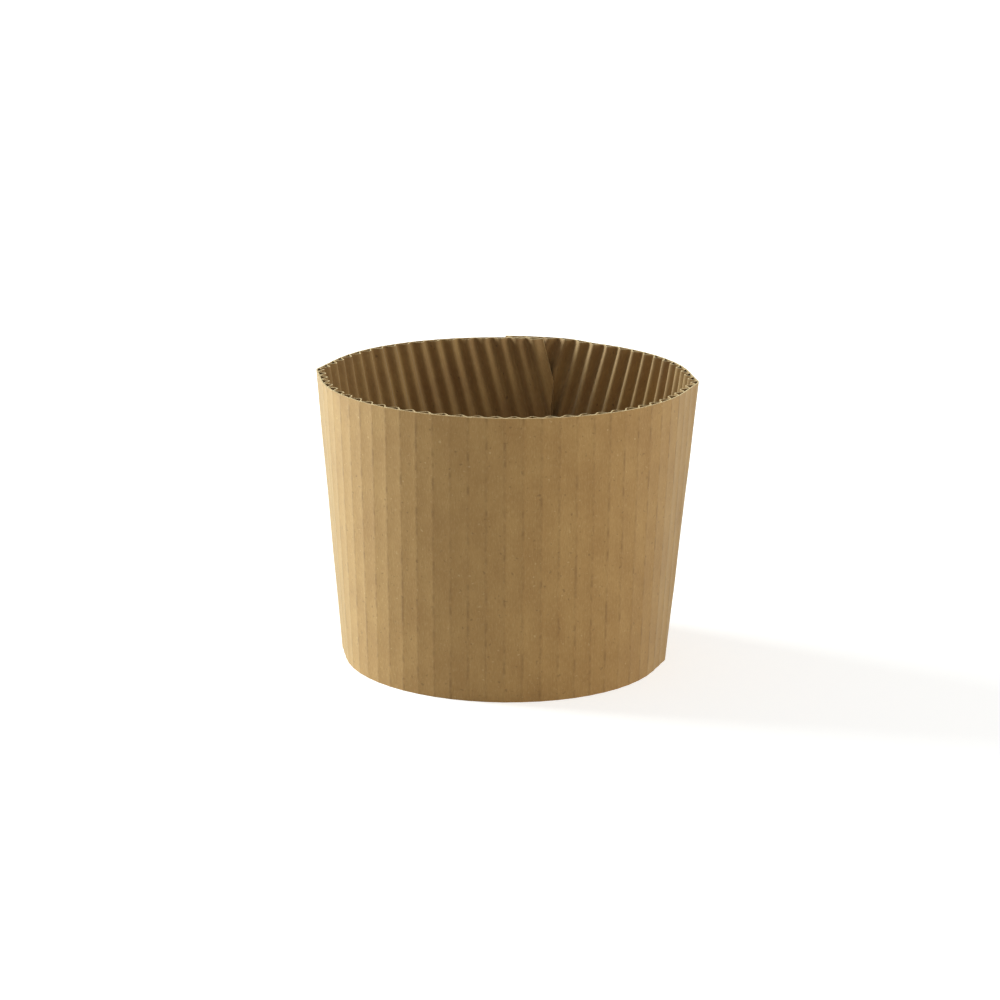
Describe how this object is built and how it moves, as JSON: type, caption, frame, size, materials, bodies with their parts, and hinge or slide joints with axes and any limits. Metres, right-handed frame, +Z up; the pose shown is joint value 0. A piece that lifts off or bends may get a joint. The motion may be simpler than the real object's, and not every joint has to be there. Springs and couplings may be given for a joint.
{
  "type": "coffee cup sleeve",
  "caption": "Tapered band of single-face corrugated kraft board with a fold at each side and a glued lap at the back; slips over a paper cup.",
  "frame": {"origin": "in the plane of the lower edge, midway between the front and the lap at the back, and midway between the folds", "axes": "+Z up along the sleeve towards its wider mouth; -Y is the front; X runs from fold to fold; the glued lap is on +Y"},
  "size_m": [0.0868, 0.0862, 0.0654],
  "materials": {
    "kraft_board": "matte"
  },
  "bodies": {
    "root": {"sleeve": "kraft_board"}
  },
  "joints": []
}
